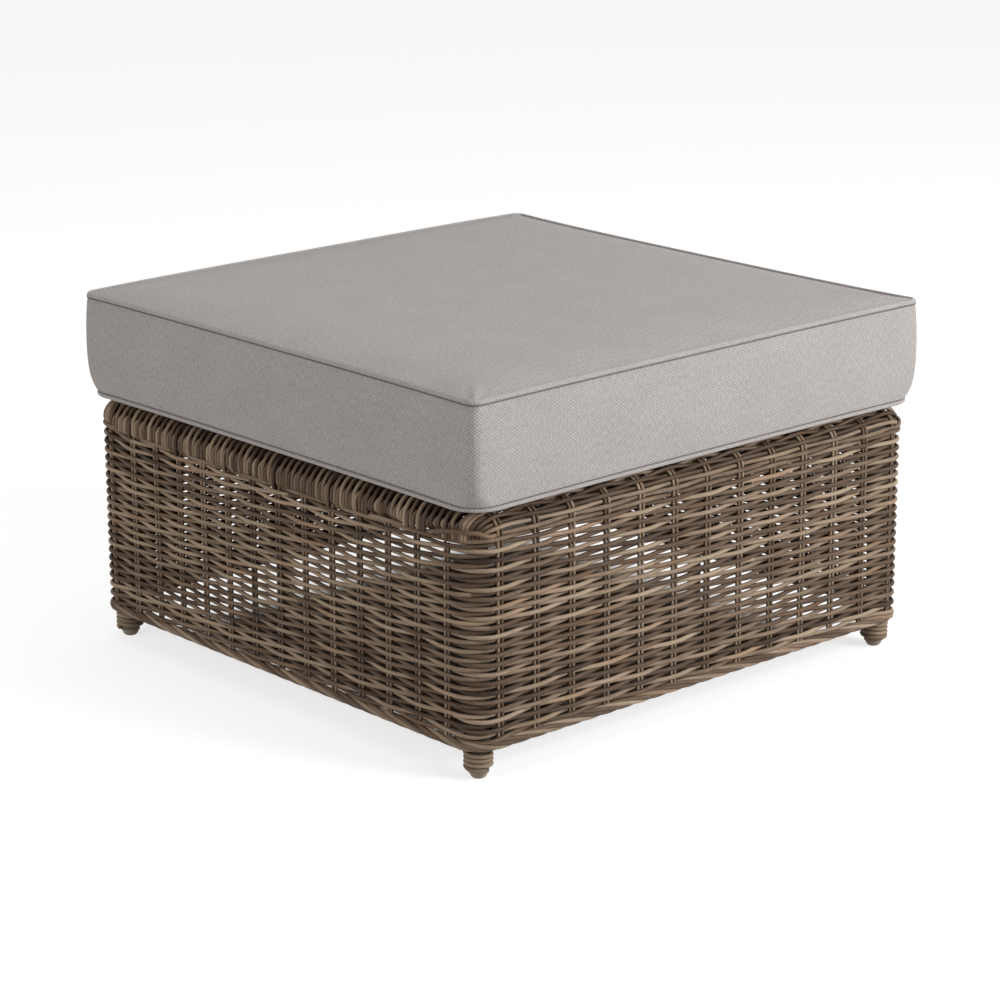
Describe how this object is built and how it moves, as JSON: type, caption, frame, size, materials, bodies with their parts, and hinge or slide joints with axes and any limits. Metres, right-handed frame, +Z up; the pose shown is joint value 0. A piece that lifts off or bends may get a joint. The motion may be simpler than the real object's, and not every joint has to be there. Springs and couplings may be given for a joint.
{
  "type": "outdoor ottoman footstool",
  "caption": "Square outdoor wicker ottoman: an open woven base on a tube frame with short wrapped feet, and a loose box cushion with piped seams and a zipped cover.",
  "frame": {"origin": "on the floor, under the middle of the woven base", "axes": "+Z up; X along the front; the front faces -Y and the cushion's zip is at the back, +Y"},
  "size_m": [0.757, 0.7586, 0.4708],
  "materials": {
    "wicker": "satin",
    "frame": "matte",
    "glide": "matte",
    "cover": "matte",
    "foam": "matte",
    "zip_tape": "matte",
    "zip_metal": "satin"
  },
  "bodies": {
    "base": {"woven_wall_front": "wicker", "woven_wall_right": "wicker", "woven_wall_back": "wicker", "woven_wall_left": "wicker", "rail_wrap_right": "wicker", "rail_wrap_left": "wicker", "bottom_border_front": "wicker", "bottom_border_right": "wicker", "bottom_border_back": "wicker", "bottom_border_left": "wicker", "woven_deck": "wicker", "foot_wrap_front_left": "wicker", "foot_wrap_front_right": "wicker", "foot_wrap_back_right": "wicker", "foot_wrap_back_left": "wicker", "top_rail_front": "frame", "top_rail_right": "frame", "top_rail_back": "frame", "top_rail_left": "frame", "bottom_rail_front": "frame", "bottom_rail_right": "frame", "bottom_rail_back": "frame", "bottom_rail_left": "frame", "side_stay_front": "frame", "side_stay_right": "frame", "side_stay_back": "frame", "side_stay_left": "frame", "post_front_left": "frame", "post_front_right": "frame", "post_back_right": "frame", "post_back_left": "frame", "seat_bearer_1": "frame", "seat_bearer_2": "frame", "seat_bearer_3": "frame", "foot_glide_front_left": "glide", "foot_glide_front_right": "glide", "foot_glide_back_right": "glide", "foot_glide_back_left": "glide"},
    "cushion": {"foam_core": "foam", "cover_top_panel": "cover", "cover_boxing": "cover", "cover_bottom_panel": "cover", "welt_top": "cover", "welt_bottom": "cover", "zip_chain": "zip_tape"},
    "slider": {"zip_slider": "zip_metal"},
    "pull": {"zip_pull": "zip_metal"}
  },
  "joints": [
    {"name": "cushion_lift", "type": "slide", "parent": "base", "child": "cushion", "axis": [0, 0, 1], "range_m": [0, 0.15]},
    {"name": "zip_slide", "type": "slide", "parent": "cushion", "child": "slider", "axis": [1, 0, 0], "range_m": [0, 0.5266]},
    {"name": "zip_pull_swing", "type": "hinge", "parent": "slider", "child": "pull", "pos_m": [-0.26334, 0.3797, 0.39625], "axis": [0, 0, 1], "range_deg": [0, 170]}
  ]
}
